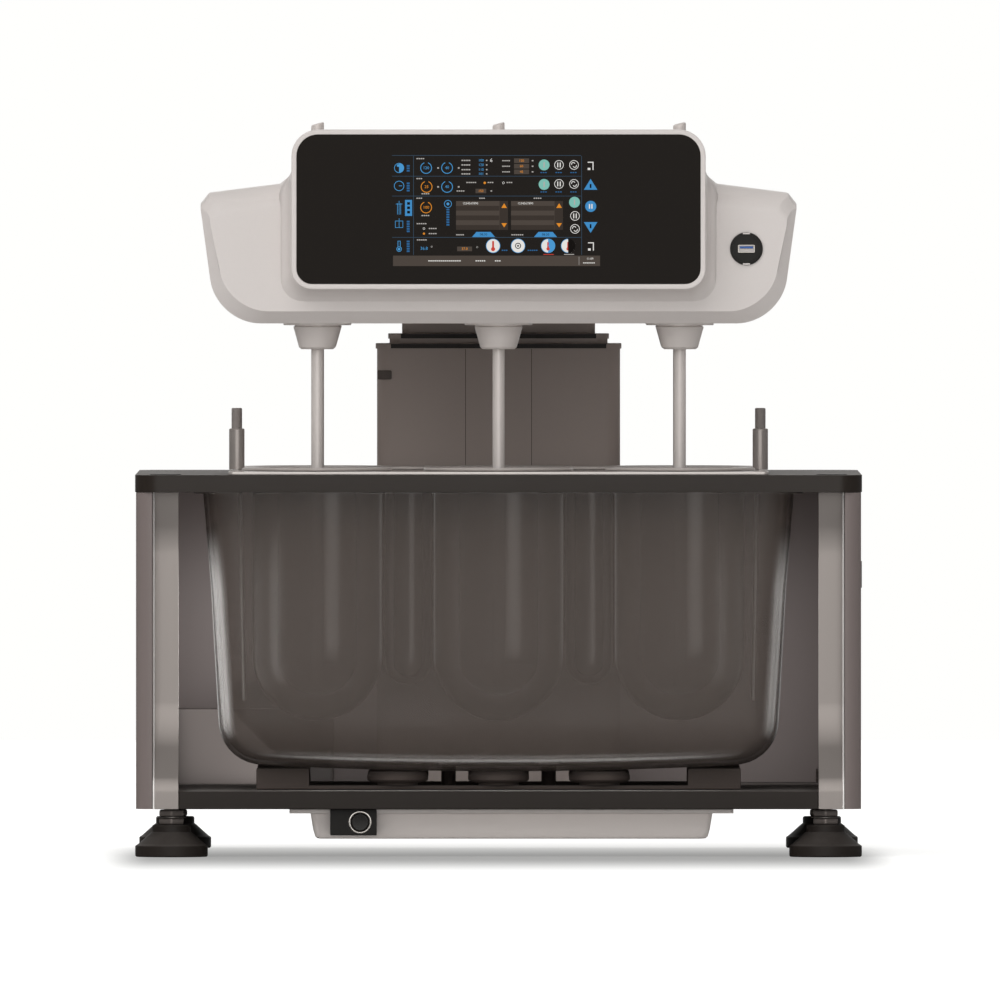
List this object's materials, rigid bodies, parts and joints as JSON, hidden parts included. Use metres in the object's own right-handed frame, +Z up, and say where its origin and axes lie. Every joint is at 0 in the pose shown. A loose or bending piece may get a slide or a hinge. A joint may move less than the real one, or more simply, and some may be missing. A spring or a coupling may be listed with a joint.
{
  "type": "tablet dissolution tester",
  "caption": "Bench tester that stirs tablets in round-bottomed vessels hung in a heated water bath, under a drive head that rises on a telescoping column.",
  "frame": {"origin": "on the floor under the middle of the whole tester's footprint", "axes": "+Z up, -Y toward the user who faces the screen, +X to that user's right"},
  "size_m": [0.6, 0.48, 0.6066],
  "materials": {
    "dark_paint": "dark brown satin paint on aluminium",
    "cover_paint": "grey-brown satin paint on sheet steel",
    "polished_steel": "polished stainless steel",
    "polished_metal": "polished metal",
    "foot_plastic": "moulded dark plastic",
    "tray_paint": "light grey satin paint",
    "black_plastic": "black moulded plastic",
    "plated_aluminium": "plain metal case",
    "plated_steel": "zinc plated steel",
    "dark_rubber": "matt rubber",
    "smoky_acrylic": "smoky clear acrylic",
    "clear_glass": "clear laboratory glass",
    "turned_steel": "turned stainless steel",
    "column_paint": "dark grey-brown satin paint",
    "machined_aluminium": "machined aluminium",
    "head_paint": "warm pale grey satin moulding",
    "screen_glass": "black glossy display panel",
    "circuit_board": "green circuit board"
  },
  "bodies": {
    "root": {"deck_frame": "dark_paint", "base_shelf": "dark_paint", "vessel_plate": "polished_steel", "side_cover_left": "cover_paint", "side_cover_right": "cover_paint", "rear_panel": "cover_paint", "front_leg_left": "polished_metal", "front_leg_right": "polished_metal", "base_tray": "tray_paint", "switch_panel": "black_plastic", "power_inlet": "black_plastic", "power_supply": "plated_aluminium", "heater_pump_unit": "black_plastic", "bath_support_front": "dark_rubber", "bath_support_rear": "dark_rubber", "water_bath": "smoky_acrylic", "vessel_1": "clear_glass", "vessel_2": "clear_glass", "vessel_3": "clear_glass", "vessel_4": "clear_glass", "vessel_5": "clear_glass", "vessel_6": "clear_glass", "medium_tube_left": "clear_glass", "medium_tube_right": "clear_glass", "temperature_probe_left": "turned_steel", "temperature_probe_right": "turned_steel", "column_outer": "column_paint", "lift_actuator_body": "plated_aluminium", "lift_guide": "turned_steel"},
    "foot_front_left": {"levelling_foot_front_left": "foot_plastic"},
    "foot_front_right": {"levelling_foot_front_right": "foot_plastic"},
    "foot_rear_left": {"levelling_foot_rear_left": "foot_plastic"},
    "foot_rear_right": {"levelling_foot_rear_right": "foot_plastic"},
    "button": {"power_button": "black_plastic"},
    "middle_stage": {"column_middle": "column_paint"},
    "head": {"column_inner": "column_paint", "lift_actuator_rod": "turned_steel", "lift_carriage": "machined_aluminium", "head_front_shell": "head_paint", "head_rear_cover": "head_paint", "spindle_carrier": "machined_aluminium", "touch_screen": "screen_glass", "control_board": "circuit_board", "usb_port": "black_plastic", "drive_motor": "plated_steel", "drive_belt": "dark_rubber"},
    "motor_drive": {"motor_pulley": "turned_steel"},
    "belt_tensioner": {"tension_pulley": "machined_aluminium"},
    "station_1": {"spindle_1": "turned_steel", "paddle_1": "turned_steel"},
    "station_2": {"spindle_2": "turned_steel", "paddle_2": "turned_steel"},
    "station_3": {"spindle_3": "turned_steel", "paddle_3": "turned_steel"},
    "station_4": {"spindle_4": "turned_steel", "paddle_4": "turned_steel"},
    "station_5": {"spindle_5": "turned_steel", "paddle_5": "turned_steel"},
    "station_6": {"spindle_6": "turned_steel", "paddle_6": "turned_steel"}
  },
  "joints": [
    {"name": "head_lift", "type": "slide", "parent": "root", "child": "head", "axis": [0, 0, 1], "range_m": [0, 0.22]},
    {"name": "middle_stage_slide", "type": "slide", "parent": "root", "child": "middle_stage", "axis": [0, 0, 1], "range_m": [0, 0.11]},
    {"name": "power_button_press", "type": "slide", "parent": "root", "child": "button", "axis": [0, 1, 0], "range_m": [0, 0.002], "stiffness_N_per_m": 600, "springref_m": -0.002},
    {"name": "foot_front_left_level", "type": "slide", "parent": "root", "child": "foot_front_left", "axis": [0, 0, 1], "range_m": [-0.012, 0]},
    {"name": "foot_front_right_level", "type": "slide", "parent": "root", "child": "foot_front_right", "axis": [0, 0, 1], "range_m": [-0.012, 0]},
    {"name": "foot_rear_left_level", "type": "slide", "parent": "root", "child": "foot_rear_left", "axis": [0, 0, 1], "range_m": [-0.012, 0]},
    {"name": "foot_rear_right_level", "type": "slide", "parent": "root", "child": "foot_rear_right", "axis": [0, 0, 1], "range_m": [-0.012, 0]},
    {"name": "station_1_spin", "type": "hinge", "parent": "head", "child": "station_1", "pos_m": [-0.15, -0.13, 0.44], "axis": [0, 0, 1], "continuous": true},
    {"name": "station_2_spin", "type": "hinge", "parent": "head", "child": "station_2", "pos_m": [0, -0.13, 0.44], "axis": [0, 0, 1], "continuous": true},
    {"name": "station_3_spin", "type": "hinge", "parent": "head", "child": "station_3", "pos_m": [0.15, -0.13, 0.44], "axis": [0, 0, 1], "continuous": true},
    {"name": "station_4_spin", "type": "hinge", "parent": "head", "child": "station_4", "pos_m": [-0.15, 0.025, 0.44], "axis": [0, 0, 1], "continuous": true},
    {"name": "station_5_spin", "type": "hinge", "parent": "head", "child": "station_5", "pos_m": [0, 0.025, 0.44], "axis": [0, 0, 1], "continuous": true},
    {"name": "station_6_spin", "type": "hinge", "parent": "head", "child": "station_6", "pos_m": [0.15, 0.025, 0.44], "axis": [0, 0, 1], "continuous": true},
    {"name": "motor_pulley_spin", "type": "hinge", "parent": "head", "child": "motor_drive", "pos_m": [-0.075, 0.05155, 0.44], "axis": [0, 0, 1], "continuous": true},
    {"name": "tension_pulley_spin", "type": "hinge", "parent": "head", "child": "belt_tensioner", "pos_m": [0.075, -0.15655, 0.44], "axis": [0, 0, 1], "continuous": true}
  ],
  "couplings": [
    {"joint": "middle_stage_slide", "follows": "head_lift", "ratio": 0.5},
    {"joint": "station_2_spin", "follows": "station_1_spin", "ratio": 1},
    {"joint": "station_3_spin", "follows": "station_1_spin", "ratio": 1},
    {"joint": "station_4_spin", "follows": "station_1_spin", "ratio": 1},
    {"joint": "station_5_spin", "follows": "station_1_spin", "ratio": 1},
    {"joint": "station_6_spin", "follows": "station_1_spin", "ratio": 1},
    {"joint": "motor_pulley_spin", "follows": "station_1_spin", "ratio": -1.6},
    {"joint": "tension_pulley_spin", "follows": "station_1_spin", "ratio": -1.6}
  ]
}
